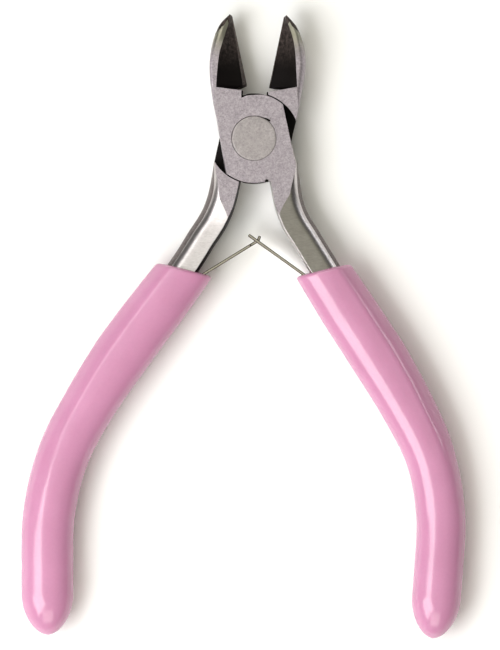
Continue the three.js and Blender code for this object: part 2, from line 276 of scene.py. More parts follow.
def place(obj, half):
    """Turns the rear half over and brings millimetres to metres."""
    for v in obj.data.vertices:
        if half is REAR:
            v.co = (-v.co.x, v.co.y, JOINT_T - v.co.z)
        v.co *= MM
    obj.data.update()


def shade(obj, angle=28):
    """Smooth shading that breaks at sharp edges and leaves level faces truly flat."""
    obj.data.shade_smooth()
    obj.data.set_sharp_from_angle(angle=math.radians(angle))
    for face in obj.data.polygons:
        if abs(face.normal.z) > 0.9999:
            face.use_smooth = False


# ---- materials ----
def srgb(r, g, b):
    return (*((c / 255 / 12.92 if c <= 10 else ((c / 255 + 0.055) / 1.055) ** 2.4) for c in (r, g, b)), 1)


class Nodes:
    """A few short calls for building a node material."""

    def __init__(self, name):
        self.material = bpy.data.materials.new(name)
        self.material.use_nodes = True
        self.tree = self.material.node_tree
        self.shader = self.tree.nodes["Principled BSDF"]
        self.coords = self.tree.nodes.new("ShaderNodeTexCoord").outputs["Object"]

    def join(self, a, b):
        self.tree.links.new(a, b)

    def put(self, **values):
        for name, value in values.items():
            self.shader.inputs[name.replace("_", " ")].default_value = value

    def stretch(self, scale):
        node = self.tree.nodes.new("ShaderNodeMapping")
        node.inputs["Scale"].default_value = scale
        self.join(self.coords, node.inputs["Vector"])
        return node.outputs["Vector"]

    def noise(self, size_mm, detail=3.0, rough=0.55, vector=None):
        """Noise from 0 to 1, with features of about size_mm."""
        node = self.tree.nodes.new("ShaderNodeTexNoise")
        node.inputs["Scale"].default_value = 1 / (size_mm * MM)
        node.inputs["Detail"].default_value = detail
        node.inputs["Roughness"].default_value = rough
        self.join(vector or self.coords, node.inputs["Vector"])
        return node.outputs["Fac"]

    def height(self, low_mm, high_mm):
        """0 below one place along the tool and 1 above another, towards the tips."""
        split = self.tree.nodes.new("ShaderNodeSeparateXYZ")
        self.join(self.coords, split.inputs[0])
        node = self.tree.nodes.new("ShaderNodeMapRange")
        node.interpolation_type = "SMOOTHSTEP"
        node.inputs["From Min"].default_value = low_mm * MM
        node.inputs["From Max"].default_value = high_mm * MM
        self.join(split.outputs["Y"], node.inputs["Value"])
        return node.outputs["Result"]

    def ramp(self, value, *stops):
        """Two stops of a position with a colour or a grey."""
        node = self.tree.nodes.new("ShaderNodeValToRGB")
        for element, (position, colour) in zip(node.color_ramp.elements, stops):
            element.position = position
            element.color = colour if isinstance(colour, tuple) else (colour, colour, colour, 1)
        self.join(value, node.inputs["Fac"])
        return node.outputs["Color"]

    def blend(self, a, b, factor, kind="MIX"):
        node = self.tree.nodes.new("ShaderNodeMix")
        node.data_type = "RGBA"
        node.blend_type = kind
        for value, socket in ((factor, node.inputs[0]), (a, node.inputs[6]), (b, node.inputs[7])):
            if isinstance(value, bpy.types.NodeSocket):
                self.join(value, socket)
            else:
                socket.default_value = value
        return node.outputs[2]

    def times(self, a, b):
        return self.blend(a, b, 1.0, "MULTIPLY")

    def bump(self, value, height_mm, below=None):
        node = self.tree.nodes.new("ShaderNodeBump")
        node.inputs["Distance"].default_value = height_mm * MM
        node.inputs["Strength"].default_value = 1.0
        self.join(value, node.inputs["Height"])
        if below is not None:
            self.join(below, node.inputs["Normal"])
        return node.outputs["Normal"]

    def surface(self, colour, rough, normal):
        """Joins what was built to the shader, and gives the material."""
        for value, name in ((colour, "Base Color"), (rough, "Roughness"), (normal, "Normal")):
            self.join(value, self.shader.inputs[name])
        return self.material


def blasted_steel(name, light, dark, rough=0.5, tip=True):
    """Ground and bead-blasted steel: an even grain with faint staining, smoothed by wear towards the tips,
    where the colour also turns olive-grey as a painted sheen.
    """
    n = Nodes(name)
    n.put(Metallic=0.75)
    grain = n.noise(0.3, 4.0, 0.75)
    clump = n.noise(0.75, 3.0, 0.6)
    cloud = n.noise(2.6, 3.0, 0.6)
    colour = n.ramp(grain, (0.34, dark), (0.64, light))
    colour = n.times(colour, n.ramp(clump, (0.36, 0.86), (0.6, 1.0)))
    colour = n.times(colour, n.ramp(cloud, (0.3, 0.92), (0.62, 1.0)))
    coarse = n.ramp(grain, (0.25, rough + 0.08), (0.75, rough - 0.08))
    if tip:
        # Towards the tips the steel is made smoother, which is wear, and turned olive-grey, which is a
        # painted sheen.
        worn_and_sheen = n.height(13.5, 18.5)
        bare_and_sheen = n.ramp(cloud, (0.3, srgb(122, 121, 108)), (0.7, srgb(144, 143, 130)))
        colour = n.blend(colour, bare_and_sheen, worn_and_sheen)
        coarse = n.blend(coarse, (0.36, 0.36, 0.36, 1), worn_and_sheen)
    fine = n.bump(n.noise(0.09, 2.0), 0.005)
    return n.surface(colour, coarse, n.bump(grain, 0.012, below=fine))


def polished_steel(name, light, dark):
    """Forged steel, linished and polished: bright, with fine scratches and soft unevenness."""
    n = Nodes(name)
    n.put(Metallic=1.0)
    cloud = n.noise(1.3, 4.0, 0.6)
    hair = n.noise(0.2, 4.0, 0.65, n.stretch((0.2, 1, 1)))
    colour = n.times(n.ramp(cloud, (0.3, dark), (0.7, light)), n.ramp(hair, (0.32, 0.82), (0.62, 1.0)))
    return n.surface(colour, n.ramp(hair, (0.3, 0.36), (0.7, 0.29)), n.bump(hair, 0.001))


def black_steel_and_shade(name):
    """Blackened steel, rubbed through to brown and grey in patches towards the tips."""
    n = Nodes(name)
    n.put(Metallic=0.4, Specular_IOR_Level=0.2)
    patch = n.noise(0.7, 6.0, 0.7)
    streak = n.noise(0.35, 4.0, 0.6, n.stretch((1, 0.45, 1)))
    rubbed = n.times(n.ramp(patch, (0.36, 0.15), (0.66, 1.0)), n.ramp(streak, (0.35, 0.4), (0.65, 1.0)))
    rubbed = n.times(rubbed, n.height(11.5, 18))
    colour = n.blend(srgb(17, 13, 12), srgb(92, 81, 77), rubbed)
    rough = n.ramp(patch, (0.35, 0.6), (0.75, 0.45))
    return n.surface(colour, rough, n.bump(streak, 0.006, below=n.bump(patch, 0.015)))


def leaf_steel(name):
    """Cold-rolled strip: straw-grey, with fine rolling lines."""
    n = Nodes(name)
    n.put(Metallic=1.0)
    lines = n.noise(0.07, 2.0, 0.5, n.stretch((1, 1, 0.05)))
    cloud = n.noise(1.8, 3.0)
    colour = n.ramp(cloud, (0.3, srgb(188, 182, 168)), (0.7, srgb(220, 214, 200)))
    colour = n.times(colour, n.ramp(lines, (0.3, 0.86), (0.7, 1.0)))
    return n.surface(colour, n.ramp(cloud, (0.3, 0.36), (0.7, 0.26)), n.bump(lines, 0.003))


def vinyl(name):
    """Dipped vinyl: glossy, slightly translucent, with the faint waves and specks of a thick dip."""
    n = Nodes(name)
    n.put(Subsurface_Weight=0.12, Subsurface_Radius=(1.0, 0.35, 0.6), Subsurface_Scale=0.0015)
    n.put(Specular_IOR_Level=0.5, Coat_Weight=0.15, Coat_Roughness=0.05)
    cloud = n.noise(9.0, 2.0)
    specks = n.noise(0.5, 3.0)
    colour = n.ramp(cloud, (0.3, srgb(196, 136, 169)), (0.7, srgb(203, 142, 176)))
    colour = n.times(colour, n.ramp(specks, (0.25, 0.97), (0.7, 1.0)))
    waves = n.noise(5.0, 1.0)
    return n.surface(colour, n.ramp(cloud, (0.3, 0.2), (0.7, 0.15)), n.bump(waves, 0.04))


MATT = blasted_steel("blasted_steel", srgb(192, 183, 190), srgb(150, 142, 148))
RIVET = blasted_steel("rivet_steel", srgb(190, 183, 184), srgb(160, 153, 154), 0.46, tip=False)
POLISHED = polished_steel("polished_steel", srgb(210, 205, 205), srgb(196, 190, 190))
# The black material is real blackened steel on the bevels, and also stands as painted shade in the joint's
# seams, recess and notch and on the left tang's inner side, and as a painted dark reflection on the jaws'
# rounded tips.
BLACK_AND_SHADE = black_steel_and_shade("black_steel_and_shade")
HONED = blasted_steel("honed_steel", srgb(118, 108, 104), srgb(76, 68, 66), 0.4, tip=False)
# The forged material's darker grey on the tang's round back is partly the forged skin and partly painted
# shade of the steep side.
FORGED_AND_SHADE = blasted_steel("forged_skin_and_shade", srgb(122, 113, 112), srgb(92, 84, 84), 0.45, tip=False)
LEAF = leaf_steel("spring_strip_steel")
# The leaves' rounded edges get a dark brown as painted shade of their tilt.
LEAF_EDGE_SHADE = blasted_steel("spring_strip_edge_shade", srgb(86, 74, 70), srgb(56, 47, 45), 0.4, tip=False)
VINYL = vinyl("dipped_pink_vinyl")
HALF_MATERIALS = [MATT, POLISHED, BLACK_AND_SHADE, HONED, FORGED_AND_SHADE]
MATT_I, POLISHED_I, BLACK_AND_SHADE_I, HONED_I, FORGED_AND_SHADE_I = range(5)


# ---- the jaws ----
# The pieces joined into a half stop at slightly different levels, so that no two faces of it coincide.
BLADE_SHY = 0.008
ROOT_SHY = 0.004
TANG_SHY = 0.006
RECESS_TOP = MID + 0.2
OVERLAP = 0.3  # how far the blade reaches into the jaw's root
SUNK = [0.972, 0.99]  # the blade's first rings lie a hair inside the root, so that the skins cross cleanly
BEVEL_STRIPS = 6
CROWN_STRIPS = 9
BLADE_STEPS = 56
ROOT_STEPS = 30
FACE_FALL = 2.0  # how much thinner each side of the jaw is at its tip
BACK_BEVEL = 2.4
HOLLOW = 0.12  # of the ground bevel
CORNER = 0.05  # sharp break between the jaw's face and its rounded side
ROOT_CHAMFER = 0.25


def jaw_half(y):
    """Half the jaw's thickness at height y."""
    return MID - BLADE_SHY - FACE_FALL * smooth(y, 13, 22.5) ** 1.3


def cut_x(half, y):
    """The cutting edge at height y."""
    a = math.radians(half["open"])
    return half["cut"] / math.cos(a) - y * math.tan(a)


def crown(depth, flat):
    """The jaw's rounded outer side, from its face to its middle: (inset, share of half the thickness)."""
    angles = [k / CROWN_STRIPS * math.pi / 2 for k in range(CROWN_STRIPS + 1)]
    return [(depth + CORNER, 1)] + [(depth * (1 - math.sin(a)), math.cos(a) ** flat) for a in angles]


def blade_ring(half, t, low, start):
    """The blade's section at share t of its length, from height low, which is at share start of the spine."""
    outer = spline(half["spine"], mix(start, 1, t))
    flat_end = spline(half["bevel"], t)
    if t == 0:
        flat_end.y -= OVERLAP
    edge_y = mix(low, half["spine"][-1][1] - 0.4, t)
    blunt = 1.1 * smooth(edge_y, half["edge_start"], low) ** 2
    edge = Vector((cut_x(half, edge_y) - blunt, edge_y))

    h = jaw_half(outer.y)
    hone = mix(half["hone"], 0.12, t ** 0.8)
    honed_to = Vector((edge.x - hone, edge.y, min(1.7 * hone, 0.8 * h)))
    bevel_to = Vector((flat_end.x, flat_end.y, h))
    ring = [Vector((edge.x, edge.y, 0))]
    for k in range(BEVEL_STRIPS + 1):
        p = honed_to.lerp(bevel_to, k / BEVEL_STRIPS)
        p.z -= HOLLOW * min(h, 2) * math.sin(math.pi * k / BEVEL_STRIPS)
        ring.append(p)

    band = abs(outer.x - flat_end.x)
    depth = min(mix(half["crown"], 0.6 * band, smooth(outer.y, 12, 19)), 0.85 * band)
    side = [Vector((outer.x + inset, mix(outer.y, flat_end.y, 0.2 * inset / max(depth, 1e-6)), z * h))
            for inset, z in crown(depth, half["flat"])]
    ring += side
    ring += [Vector((p.x, p.y, -p.z)) for p in side[:-1][::-1]]
    back = min(BACK_BEVEL, 0.6 * (edge.x - outer.x))
    ring.append(Vector((edge.x - back, mix(edge.y, outer.y, 0.5), -h)))
    return ring


def blade(half):
    """The jaw, from its shoulder to its tip."""
    low = half["bevel"][0][1] - OVERLAP
    start = share_at(half["spine"], low)
    rings = []
    for i in range(BLADE_STEPS + 1):
        ring = blade_ring(half, i / BLADE_STEPS, low, start)
        if i < len(SUNK):
            centre = sum(ring, Vector((0, 0, 0))) / len(ring)
            ring = [centre.lerp(p, SUNK[i]) for p in ring]
        rings.append([(p.x, p.y, MID + half["face"] * p.z) for p in ring])
    # The last ring is drawn in and lifted to round the very tip.
    last = [Vector(p) for p in rings[-1]]
    centre = sum(last, Vector((0, 0, 0))) / len(last)
    for k in range(1, 5):
        a = math.radians(20 * k)
        lift = Vector((0.03, 0.16, 0)) * math.sin(a)
        rings.append([tuple(centre + (p - centre) * math.cos(a) + lift) for p in last])
    matt = len(last) - BEVEL_STRIPS - 2
    return loft(rings, [HONED_I] + [BLACK_AND_SHADE_I] * BEVEL_STRIPS + [MATT_I] * matt + [HONED_I])


def jaw_root(half):
    """The thick part of the jaw between the lap and the bevel's heel."""
    spine = half["spine"]
    end = share_at(spine, half["bevel"][0][1])
    rings = []
    for i in range(ROOT_STEPS + 1):
        t = i / ROOT_STEPS
        outer = spline(spine, mix(0, end, t))
        x = mix(half["notch"][0], half["heel"][0], smooth(t, 0.7, 1))
        y = mix(1, half["heel"][1], t)
        side = crown(mix(0.15, half["crown"], smooth(outer.y, 5, 9.5)), 0.4)
        ring = [(x - ROOT_CHAMFER, y, -1), (x, y, -0.92), (x, y, 0.92), (x - ROOT_CHAMFER, y, 1)]
        ring += [(outer.x + inset, outer.y, z) for inset, z in side]
        ring += [(outer.x + inset, outer.y, -z) for inset, z in side[:-1][::-1]]
        rings.append([(px, py, MID + z * (MID - ROOT_SHY)) for px, py, z in ring])
    # The first three strips, the inner wall facing the notch and its chamfers, take the black material:
    # partly blackened steel, partly painted shade of the notch.
    return loft(rings, [BLACK_AND_SHADE_I] * 3 + [MATT_I] * (len(rings[0]) - 3))


# ---- the lap joint ----
LAP_DRAFT = 0.12
LOWER_END = Vector((2.0, -7.64))  # where the lap's lower round end meets the relief beside the tang
RELIEF = Vector((2.25, -7.48))
RELIEF_R = 0.27
TANG_SIDE = Vector((4, -8))
UPPER_END_Y = 7.75
DRAFTED = (-4.6, 4.9)  # the walls between these take the black material, partly blackened steel and partly painted shade of the seam; those to the left and to the right are the drafted, matt ones


def on_circle(inside, outside, radius):
    """Where the line from one point to the other crosses the circle about the rivet."""
    step = outside - inside
    a, b, c = step.dot(step), 2 * inside.dot(step), inside.dot(inside) - radius ** 2
    return inside + step * ((-b + math.sqrt(b * b - 4 * a * c)) / (2 * a))


def arc(start, end, radius, count):
    """Points about the rivet, counter-clockwise from the direction of start to that of end."""
    a = math.atan2(start.y, start.x)
    b = math.atan2(end.y, end.x)
    if b < a:
        b += 2 * math.pi
    angles = (mix(a, b, k / count) for k in range(count + 1))
    return [Vector((radius * math.cos(angle), radius * math.sin(angle))) for angle in angles]


def lap_outline(half, inset, round_in):
    """The lap from the front. inset draws in its two long sides, and round_in its round ends."""
    up_top, up_end = (Vector(p) + Vector((inset, 0)) for p in half["side_up"])
    down_end, down_top = (Vector(p) - Vector((0.3 * inset, 0)) for p in half["side_down"])
    radius = DISC_R - 0.4 * round_in
    lower = on_circle(up_top.lerp(up_end, 0.5), up_end + (up_end - up_top), radius)
    upper = on_circle(down_top.lerp(down_end, 0.5), down_top + (down_top - down_end), radius)
    corner = Vector(half["notch"]) - Vector((round_in, round_in))
    points = [up_top, *arc(lower, LOWER_END, radius, 44)]
    for k in range(6):
        a = math.radians(190 - 38 * k)
        points.append(RELIEF + (RELIEF_R + 0.3 * round_in) * Vector((math.cos(a), math.sin(a))))
    points += [TANG_SIDE, down_end]
    for p in arc(upper, Vector((corner.x + 0.7, UPPER_END_Y)), radius, 40):
        points.append(p * (1 - 0.17 * round_in * smooth(p.x, 2.4, -0.6)))
    return points + [corner]


def lap(half):
    low = MID + LAP_GAP / 2
    levels = [(low, 0.0, 0.0), (JOINT_T - 0.2, LAP_DRAFT, 0.0), (JOINT_T, LAP_DRAFT + 0.06, 0.17)]
    bm = loft([[(p.x, p.y, z) for p in lap_outline(half, inset, round_in)] for z, inset, round_in in levels])
    for face in bm.faces:
        wall = abs(face.normal.z) < 0.95
        # The seam walls between the halves are black partly as blackened steel and partly as painted shade.
        if wall and DRAFTED[0] <= face.calc_center_median().x <= DRAFTED[1]:
            face.material_index = BLACK_AND_SHADE_I
    return bm


def nick():
    """A shallow dent beside the rivet, where its setting has torn the edge of the hole."""
    outer, inner = [], []
    for k in range(9):
        a = math.radians(mix(82, 47, k / 8))
        r = HEAD_R + mix(0.04, 0.1, k / 8) + 0.24 * smooth(k, 3, 7)
        outer.append((r * math.cos(a), r * math.sin(a)))
        inner.append(((HEAD_R - 0.3) * math.cos(a), (HEAD_R - 0.3) * math.sin(a)))
    bm = plate(inner[::-1] + outer, JOINT_T - 0.4, JOINT_T + 1)
    for face in bm.faces:
        face.material_index = BLACK_AND_SHADE_I
    return bm


# ---- the tangs ----
# The tables go by the distance along the tang. Widths and heights are half of the whole.
TANG_HALF_W = 2.6
TANG_END = 7.5  # short of the grip's end
TANG_STEPS = 200
TANG_WIDTHS = [(0, 1.75), (3.5, TANG_HALF_W), (60, TANG_HALF_W), (90, 2.1)]
TANG_HEIGHTS = [(14.5, 3.27), (16.5, 3.17), (19, 3.08), (24, 2.95), (35, 2.8), (90, 2.2)]
ROUND_BACK = [(4.2, 0.35), (5.8, 1.0), (7.2, 1.9), (9, 2.5)]  # width of the round back
FACET_FALL = 0.13  # slope of the broad facet
INNER_STRIPS = 3
FACET_STRIPS = 6
BACK_STRIPS = 16
BREAK = 0.08  # half the width of the broken edge between the inner side and the facet


def tang_section(half, s):
    """The tang's section: a drafted inner side, a broad facet that falls outwards, and a round back."""
    w = along(TANG_WIDTHS, s)
    edge = -w + half["draft"]
    start = edge + BREAK
    heights = [(t, MID + FACET_FALL * (n - start)) for t, n in half["tongue"]] + TANG_HEIGHTS
    h = eased(heights, s, 1.6)
    wide = eased(ROUND_BACK, s, 1.0)
    upper = [(-w, 0), (-w + 0.04, h * 0.35), (edge - BREAK, h - 0.2), (edge, h - 0.05), (start, h)]
    # The round back is a quarter of an ellipse, taken up where its slope is the facet's.
    tall = (h - FACET_FALL * (w - wide - start)) * 1.013
    lean = wide * FACET_FALL / math.hypot(wide * FACET_FALL, tall)
    facet_end = w - wide + wide * lean
    h_end = tall * math.sqrt(1 - lean * lean)
    for k in range(1, FACET_STRIPS + 1):
        upper.append((mix(start, facet_end, k / FACET_STRIPS), mix(h, h_end, k / FACET_STRIPS)))
    for k in range(1, BACK_STRIPS + 1):
        a = mix(math.asin(lean), math.pi / 2, k / BACK_STRIPS)
        upper.append((w - wide + wide * math.sin(a), tall * math.cos(a)))
    return upper + [(n, -z) for n, z in upper[1:-1][::-1]]


def ring_across(path, s, section):
    """A section's points, set square across the path at distance s."""
    at, ahead = path.at(s)
    return [(at.x - ahead.y * n, at.y + ahead.x * n, MID + z) for n, z in section]


def tang(half):
    path = Path(half["path"])
    end = path.length - TANG_END
    stations = [end * (i / TANG_STEPS) ** 1.3 for i in range(TANG_STEPS + 1)]
    # The rear half's inner tang side, which faces away from the key light, takes the black material as
    # painted shade; the front half's stays polished.
    inner = BLACK_AND_SHADE_I if half is REAR else POLISHED_I
    strips = [inner] * INNER_STRIPS
    strips += [POLISHED_I] * (1 + FACET_STRIPS + half["forged_and_shade_from"])
    # The round back's outer strips are darker: partly forged skin, partly painted shade of the steep side.
    strips += [FORGED_AND_SHADE_I] * (BACK_STRIPS - half["forged_and_shade_from"])
    bm = loft([ring_across(path, s, tang_section(half, s)) for s in stations], strips + strips[::-1])
    cut_flat(bm, JOINT_T - TANG_SHY, 1)
    cut_flat(bm, TANG_SHY, -1)
    return bm


# ---- the two forged halves ----
CUT_FROM, CUT_TO = -5, 12  # the cutting discs reach past both faces
BORE_R = HEAD_R + 0.02
BORE_AT = (-0.02, 0.02)


def paint(obj, half):
    """Gives the black material to the lap faces, the recess's walls and the notch, partly as blackened steel
    and partly as painted shade, and to the jaws' rounded tips as a painted dark reflection. Makes the tang's
    flat tongue matt.
    """
    rim = [spline(half["spine"], k / 200) for k in range(201)]
    tip = half["spine"][-1][1]

    def from_rim(p):
        return p.x - min(rim, key=lambda q: abs(q.y - p.y)).x

    for face in obj.data.polygons:
        c, n = face.center, face.normal
        # Lap faces, recess walls and notch walls: black partly as blackened steel, partly as painted shade.
        lap_black_and_shade = MID < c.z < RECESS_TOP + 0.01 and abs(n.z) > 0.9
        shoulder = abs(math.hypot(c.x, c.y) - SHOULDER_R) < 0.05
        recess_black_and_shade = c.z < RECESS_TOP and shoulder and abs(n.z) < 0.2
        # The jaws' rounded tips: black as a painted dark reflection of the surface sloping away towards the
        # tip.
        nose_dark_reflection = c.y > tip - 0.35 or (c.y > 18 and from_rim(c) < 1.2 * smooth(c.y, 17.8, 21.4))
        notch = abs(n.z) < 0.3 and 7 < c.y < 8.8 and c.x > half["notch"][0] - 0.1
        ground = abs(n.z) > 0.995 and (c.z > JOINT_T - 0.02 or c.z < 0.02)
        if lap_black_and_shade or recess_black_and_shade or nose_dark_reflection or notch:
            face.material_index = BLACK_AND_SHADE_I
        elif ground and c.y < 2:
            face.material_index = MATT_I


def forging(half, name, body):
    obj = new_object(name, tang(half), HALF_MATERIALS)
    combine(obj, new_object("root", jaw_root(half), HALF_MATERIALS), "UNION")
    combine(obj, new_object("blade", blade(half), HALF_MATERIALS), "UNION")
    recess = plate(circle(SHOULDER_R, 180), CUT_FROM, RECESS_TOP)
    # The recess's cut faces take the black material: partly blackened steel, partly painted shade of the
    # recess.
    combine(obj, new_object("recess", recess, [BLACK_AND_SHADE]), "DIFFERENCE")
    combine(obj, new_object("lap", lap(half), HALF_MATERIALS), "UNION")
    bore = plate(circle(BORE_R, 180, BORE_AT), CUT_FROM, CUT_TO)
    combine(obj, new_object("bore", bore, HALF_MATERIALS), "DIFFERENCE")
    if half is FRONT:
        combine(obj, new_object("nick", nick(), HALF_MATERIALS), "DIFFERENCE")
    paint(obj, half)
    place(obj, half)
    shade(obj)
    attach(obj, body)
    return obj


front = forging(FRONT, "front_forging", "front_frame")
rear = forging(REAR, "rear_forging", "rear_frame")
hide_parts("front_half")
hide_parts("rear_half")


# ---- the joint's rivet ----
def rivet():
    insets = [(HEAD_R - 0.02, 0), (0.35, 0), (0.1, 0.02), (0.02, 0.12), (0.6, 1.5)]
    profile = [(HEAD_R - inset, z) for inset, z in insets]
    profile += [(r, JOINT_T - z) for r, z in profile[::-1]]
    rings = [[(x, y, z) for x, y in circle(r, 120)] for r, z in profile]
    obj = new_object("rivet_head", loft(rings), [RIVET])
    place(obj, FRONT)
    shade(obj)
    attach(obj, "front_frame")
    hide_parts("joint_rivet")


rivet()


# ---- the grips ----
# The tables go by the distance from the mouth. Each holds half of a width or of a thickness.
GRIP_INNER = [(0, 5.1), (8, 5.3), (18, 5.1), (30, 4.75)]
GRIP_OUTER = [(0, 4.3), (8, 4.6), (18, 4.95), (30, 4.6)]
GRIP_HEIGHT = [(0, 4.15), (15, 4.4), (40, 4.3), (75, 4.1)]
GRIP_COUNT = 56  # points around
GRIP_END = 7.0  # length of the round end
END_STEPS = 22
END_POWER = 1.8
RING_GAP = 0.9
# The lip: (distance along the grip, how far in).
MOUTH_RINGS = [(-0.35, 3.2), (-0.12, 1.6), (0.0, 0.9), (0.03, 0.62), (0.12, 0.36), (0.3, 0.15), (0.55, 0.03),
               (0.9, 0.0)]
# Over the steel inside, the outer half of the dip keeps two slight flats, between these angles from level.
SHOULDERS = [math.radians(a) for a in (19, 64, 90)]
FLATTENED = 0.6


def grip_section(half, d, end=1.0, shrink=0.0):
    """The grip's section at distance d from the mouth. end scales it and shrink draws it in."""
    settle = smooth(d, 28, 42)
    inner = mix(along(GRIP_INNER, d), half["grip_half"], settle) * end - shrink
    outer = mix(along(GRIP_OUTER, d), half["grip_half"], settle) * end - shrink
    height = along(GRIP_HEIGHT, d) * end - shrink
    power = mix(0.9, 0.97, smooth(d, 20, 45))
    flat = FLATTENED * smooth(d, 44, 30)

    def oval(a, width):
        return Vector((abs(math.cos(a)) ** power * width, abs(math.sin(a)) ** power * height))

    points = []
    for k in range(GRIP_COUNT):
        a = math.pi - k / GRIP_COUNT * 2 * math.pi
        upward = math.sin(a)
        if math.cos(a) < 0:
            p = oval(a, inner)
            points.append((-p.x, math.copysign(p.y, upward)))
            continue
        around = min(abs(a), math.pi / 2)
        p = oval(around, outer)
        if around >= SHOULDERS[0]:
            low, high = SHOULDERS[:2] if around <= SHOULDERS[1] else SHOULDERS[1:]
            chord = oval(low, outer).lerp(oval(high, outer), (around - low) / (high - low))
            p = p.lerp(chord, flat)
        points.append((p.x, math.copysign(p.y, upward)))
    return points


def grip(half, name, body, node):
    path = Path(half["path"])
    mouth_x, mouth_y = half["mouth"]
    mouth = path.down_to(mouth_y)
    slope = math.tan(math.radians(half["mouth_slope"]))

    def slanted(s, shrink=0.0):
        """A ring near the mouth: its points slide along the grip into the slanted plane of the mouth."""
        at, ahead = path.at(s)
        near = smooth(s, mouth + 9, mouth)
        ring = []
        for n, z in grip_section(half, max(s - mouth, 0), shrink=shrink):
            p = at + Vector((-ahead.y, ahead.x)) * n
            target = mouth_y + (p.x - mouth_x) * slope
            p += ahead * ((target - p.y + (at.y - mouth_y)) / ahead.y * near)
            ring.append((p.x, p.y, MID + z))
        return ring

    rings = [slanted(mouth + back, shrink) for back, shrink in MOUTH_RINGS]
    s = mouth + 1.6
    while s < path.length - GRIP_END:
        rings.append(slanted(s))
        s += RING_GAP
    for k in range(END_STEPS):
        left = (1 - k / END_STEPS) ** 2
        end = (1 - (1 - left) ** END_POWER) ** (1 / END_POWER)
        s = path.length - 0.02 - GRIP_END * left
        rings.append(ring_across(path, s, grip_section(half, s - mouth, end)))
    rings.append(ring_across(path, path.length, grip_section(half, path.length - mouth, 0.03)))
    obj = new_object(name, loft(rings), [VINYL])
    place(obj, half)
    shade(obj, 60)
    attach(obj, body)
    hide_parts(node)


grip(FRONT, "grip_sleeve_right", "front_frame", "right_grip")
grip(REAR, "grip_sleeve_left", "rear_frame", "left_grip")


# ---- the leaf springs ----
# A leaf is cut from a strip divided into cells, along it from the grip's mouth and across it from its middle.
FOOT_GAP = 0.12  # between the foot and the tang
FOOT_END = -9
EDGE_ROUND = 0.13
HOOK_TURN = 0.25  # length over which the hook turns
SLOT = (8.75, 11.4)
NECK = 9.6  # from here on the left leaf is only its tongue
HOOK = 11.2
# The four neighbours of a cell, each with the two corners that the cell shares with it.
NEIGHBOURS = [
    ((-1, 0), (0, 0), (0, 1)),
    ((1, 0), (1, 0), (1, 1)),
    ((0, -1), (0, 0), (1, 0)),
    ((0, 1), (0, 1), (1, 1)),
]


def breaks(high, step, *exact):
    """Places along the leaf, a step apart, with the exact ones among them."""
    count = max(int(round((high - FOOT_END) / step)), 1)
    values = {round(mix(FOOT_END, high, k / count), 4) for k in range(count + 1)}
    values = {v for v in values if all(abs(v - e) > 0.12 for e in exact)}
    return sorted(values | set(exact))


def across(middle_width):
    """Places across the leaf, for a slot or tongue of the given width."""
    return [-LEAF_W / 2, -middle_width / 2, 0, middle_width / 2, LEAF_W / 2]


def leaf_line(half, hook):
    """The leaf's middle line, as a function from the distance to a point and a direction."""
    root, tip = (Vector(p) for p in half["leaf"])
    lean = (tip - root).normalized()
    path = Path(half["path"])
    at, ahead = path.at(path.down_to(half["mouth"][1]))
    foot = at - Vector((-ahead.y, ahead.x)) * (TANG_HALF_W + FOOT_GAP + LEAF_T / 2)
    gap = root - foot
    cross = ahead.x * lean.y - ahead.y * lean.x
    bend = foot + ahead * ((gap.x * lean.y - gap.y * lean.x) / cross)
    inside = (root - bend).length

    def spot(s):
        if s < -inside:
            return bend + ahead * (-inside - s), -ahead
        if hook and s > hook[0]:
            a = math.radians(-hook[1]) * smooth(s, hook[0], hook[0] + HOOK_TURN)
            c, q = math.cos(a), math.sin(a)
            turned = Vector((lean.x * c - lean.y * q, lean.x * q + lean.y * c))
            return root + lean * hook[0] + turned * (s - hook[0]), turned
        return root + lean * s, lean

    return spot


def leaf_mesh(spot, keep, s_breaks, z_breaks):
    """The strip's kept cells, closed all round, with rounded edges."""
    bm = bmesh.new()
    verts = {}

    def corner(i, j, side):
        if (i, j, side) not in verts:
            p, direction = spot(s_breaks[i])
            n = Vector((-direction.y, direction.x)) * (side * LEAF_T / 2)
            verts[i, j, side] = bm.verts.new((p.x + n.x, p.y + n.y, MID + z_breaks[j]))
        return verts[i, j, side]

    def kept(i, j):
        if not (0 <= i < len(s_breaks) - 1 and 0 <= j < len(z_breaks) - 1):
            return False
        return keep((s_breaks[i] + s_breaks[i + 1]) / 2, (z_breaks[j] + z_breaks[j + 1]) / 2)

    cells = [(i, j) for i in range(len(s_breaks) - 1) for j in range(len(z_breaks) - 1) if kept(i, j)]
    for i, j in cells:
        for side in (-1, 1):
            around = [(i, j), (i + 1, j), (i + 1, j + 1), (i, j + 1)]
            bm.faces.new([corner(ci, cj, side) for ci, cj in around])
        for (di, dj), (ai, aj), (bi, bj) in NEIGHBOURS:
            if not kept(i + di, j + dj):
                bm.faces.new([corner(i + ai, j + aj, -1), corner(i + bi, j + bj, -1),
                              corner(i + bi, j + bj, 1), corner(i + ai, j + aj, 1)])
    bmesh.ops.recalc_face_normals(bm, faces=bm.faces[:])
    sharp = [e for e in bm.edges if e.calc_face_angle(0) > math.radians(50)]
    # The rounded edges take the second material, the dark brown painted shade.
    bmesh.ops.bevel(bm, geom=sharp, offset=EDGE_ROUND, segments=3, profile=0.5, affect="EDGES", material=1)
    return bm


def leaf(half, name, nodes, keep, s_breaks, z_breaks, hook=None):
    """keep says which cells of the strip are steel. hook is where the end turns and by how many degrees."""
    bm = leaf_mesh(leaf_line(half, hook), keep, s_breaks, z_breaks)
    obj = new_object(name, bm, [LEAF, LEAF_EDGE_SHADE])
    place(obj, half)
    shade(obj, 40)
    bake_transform(obj)
    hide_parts(*nodes)


